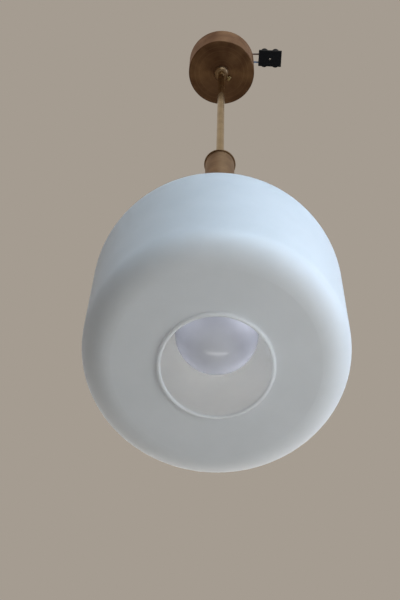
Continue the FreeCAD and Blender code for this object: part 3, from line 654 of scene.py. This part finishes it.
supports = wire_piece("filament_supports", 3)
for side in (-1, 1):
    leg = supports.data.splines.new("BEZIER")
    leg.bezier_points.add(1)
    top = Vector((side * LEG_AT_MOUNT, 0, high.z - LEG_R))
    foot = Vector((side * (high.x - LEG_INSET), 0, low.z + COIL_R))
    pulls = (Vector((side * 2, 0, -7)) * MM, Vector((0, 0, 5)) * MM)
    for point, co, pull in zip(leg.bezier_points, (top, foot), pulls):
        point.co = co
        point.radius = LEG_R
        point.handle_right = co + pull
        point.handle_left = co + pull
for piece in (coil, supports):
    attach(piece, "bulb")
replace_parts(coil, "bulb_filament")
print(TURNS, "turns of filament on two legs")

# %% [markdown]
# ## The surround
#
# Only light and a plain pale surround are needed. The surround is one flat colour to the eye and to
# reflections, so the brass has something warm and even to mirror. The light that falls on the piece is set
# apart from it: it starts with a soft sky from all sides. Light Path tells the world which kind of ray is
# asking.

# %% Surround
SURROUND = "#A59C91"
SKY_STRENGTH = 0.34
world = bpy.data.worlds.new("room")
bpy.context.scene.world = world
world.use_nodes = True
world.node_tree.nodes.clear()
path = add(world, "ShaderNodeLightPath")
seen = add(world, "ShaderNodeBackground", Color=colour(SURROUND))
lit = add(world, "ShaderNodeBackground", Color=colour("#DDE2E8"), Strength=SKY_STRENGTH)
rays = {0: path.outputs["Is Camera Ray"], 1: path.outputs["Is Glossy Ray"]}
shown = add(world, "ShaderNodeMath", rays, operation="MAXIMUM")
pick = add(world, "ShaderNodeMixShader", {0: shown.outputs[0], 1: lit.outputs[0], 2: seen.outputs[0]})
add(world, "ShaderNodeOutputWorld", {"Surface": pick.outputs[0]})
print("a surround of", SURROUND, "and a sky of", SKY_STRENGTH)

# %% [markdown]
# ## The floor
#
# The floor is matt paint with faint patches in it. It lies well below the light, as in a real room. It glows
# a little to the eye alone, so it looks pale, and still takes the shadow.

# %% Floor
FLOOR_DROP = 1.75
FLOOR_HALF = 6
FLOOR_GLOW = 0.6
painted_floor, surface = new_material("pale_painted_floor")
place = add(painted_floor, "ShaderNodeTexCoord")
patch = add(painted_floor, "ShaderNodeTexNoise", {"Vector": place.outputs["Object"]}, Scale=1.5, Detail=3.0)
paint = add(painted_floor, "ShaderNodeValToRGB", {"Fac": patch.outputs["Fac"]})
paint.color_ramp.elements[0].color = colour("#A49C91")
paint.color_ramp.elements[1].color = colour("#B2AA9F")
path = add(painted_floor, "ShaderNodeLightPath")
glow = add(painted_floor, "ShaderNodeMath", {0: path.outputs["Is Camera Ray"]}, operation="MULTIPLY")
glow.inputs[1].default_value = FLOOR_GLOW
link(painted_floor, paint.outputs["Color"], surface.inputs["Base Color"])
link(painted_floor, paint.outputs["Color"], surface.inputs["Emission Color"])
link(painted_floor, glow.outputs["Value"], surface.inputs["Emission Strength"])
surface.inputs["Roughness"].default_value = 0.8
build = bmesh.new()
corners = [(-1, -1), (1, -1), (1, 1), (-1, 1)]
build.faces.new([build.verts.new((x * FLOOR_HALF, y * FLOOR_HALF, mouth - FLOOR_DROP)) for x, y in corners])
floor_mesh = bpy.data.meshes.new("floor")
build.to_mesh(floor_mesh)
build.free()
floor_mesh.materials.append(painted_floor)
floor = bpy.data.objects.new("floor", floor_mesh)
bpy.context.scene.collection.objects.link(floor)
floor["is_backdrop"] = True
print("floor", FLOOR_DROP, "m below the mouth of the glass")

# %% [markdown]
# ## Lamps
#
# Daylight in a room comes from large, soft areas, so each lamp is a wide rectangle aimed at the middle of
# the glass: a cool window to the right, a cool sky in front, a broad white light behind, and a weak one from
# below. The last two stand for light from the whole room, which has no edge to mirror, so the brass doesn't
# show them.

# %% Lamps
def area_lamp(name, place, aim, size, power, tint):
    """A rectangular lamp at a place, turned to face another."""
    data = bpy.data.lights.new(name, "AREA")
    data.shape = "RECTANGLE"
    data.size, data.size_y = size
    data.energy = power
    data.color = colour(tint)[:3]
    lamp = bpy.data.objects.new(name, data)
    bpy.context.scene.collection.objects.link(lamp)
    lamp.location = place
    lamp.rotation_euler = (Vector(aim) - Vector(place)).to_track_quat("-Z", "Y").to_euler()
    return lamp


glass_middle = (0, 0, mouth + 0.12)
area_lamp("window", (2.2, -0.9, mouth + 0.6), glass_middle, (1.6, 2.0), 30, "#BAD8FB")
area_lamp("front_sky", (0.6, -2.2, mouth + 1.0), glass_middle, (1.8, 1.8), 39, "#C4E0F6")
behind = area_lamp("behind", (0.1, 2.1, mouth + 0.7), glass_middle, (2.4, 2.4), 58, "#F4F4F2")
below = area_lamp("from_below", (0.7, -0.28, mouth - 0.5), glass_middle, (0.6, 0.6), 5.0, "#EAF0F4")
behind.visible_glossy = False
below.visible_glossy = False
bpy.context.scene.view_settings.view_transform = "Standard"
print("four lamps, the largest", behind.data.size, "m wide")

# %% [markdown]
# ## Light for one piece
#
# The milky wall lets light in, and the globe lamp is lit by it from all round. The renderer follows
# scattered light only for what the eye sees directly, so four weak lamps round the globe stand for it. A
# strip of light from the floor behind shows as a small curved shine on the smooth globe. Light from the far
# side of the room runs across the fine rings under the cup as two paler fans, left and right. Light linking
# keeps each of these to its own piece, so that none of them lights anything else.

# %% Linked lamps
GLOW_AT = 88 * MM  # from the globe's middle
GLOW_DIP = -0.35  # how far they sit below its middle, as a share of that
GLOW_SIZE = 30 * MM
GLOW_NEAR_WINDOW = 0.14
GLOW_AWAY = 0.09


def only(name, node):
    """A collection that holds one part, for lamps that light nothing else."""
    receivers = bpy.data.collections.new(name)
    receivers.objects.link(nodes[node])
    return receivers


low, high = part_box("bulb_globe")
globe_middle = Vector((0, 0, low.z + high.x))
only_globe = only("only_the_globe", "bulb_globe")
for i in range(4):
    data = bpy.data.lights.new(f"wall_glow_{i}", "POINT")
    data.energy = GLOW_NEAR_WINDOW if i in (0, 3) else GLOW_AWAY
    data.shadow_soft_size = GLOW_SIZE
    data.color = colour("#E6EAF6")[:3]
    lamp = bpy.data.objects.new(f"wall_glow_{i}", data)
    bpy.context.scene.collection.objects.link(lamp)
    turn = math.pi / 4 + i * math.pi / 2
    lamp.location = globe_middle + Vector((math.cos(turn), math.sin(turn), GLOW_DIP)) * GLOW_AT
    lamp.light_linking.receiver_collection = only_globe
    lamp.visible_glossy = False

strip = (0, 0.66, globe_middle.z - 1.05)
floor_shine = area_lamp("floor_shine", strip, globe_middle, (1.3, 0.2), 2.6, "#FFFFFF")
floor_shine.visible_diffuse = False
floor_shine.light_linking.receiver_collection = only_globe
fan = area_lamp("cup_fan", (1.1, 0.5, cup_face - 2.0), (0, 0, cup_face), (0.5, 0.5), 2.6, "#E6F0DC")
fan.visible_diffuse = False
fan.light_linking.receiver_collection = only("only_the_cup", "ceiling_cup")
print("five lamps for the globe, one for the cup")

# %% [markdown]
# ## Sizes
#
# The last step works out the box of everything shown and prints how far its top corner reaches past the box
# of the CAD solids. The two agree, because the looks never grow the part.

# %% Sizes, and the end
visual_box = [list(corner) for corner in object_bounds()]
grown = [round((visual_box[1][i] - cad_box[1][i]) / MM, 2) for i in range(3)]
print("grown by", grown, "mm at the top corner")
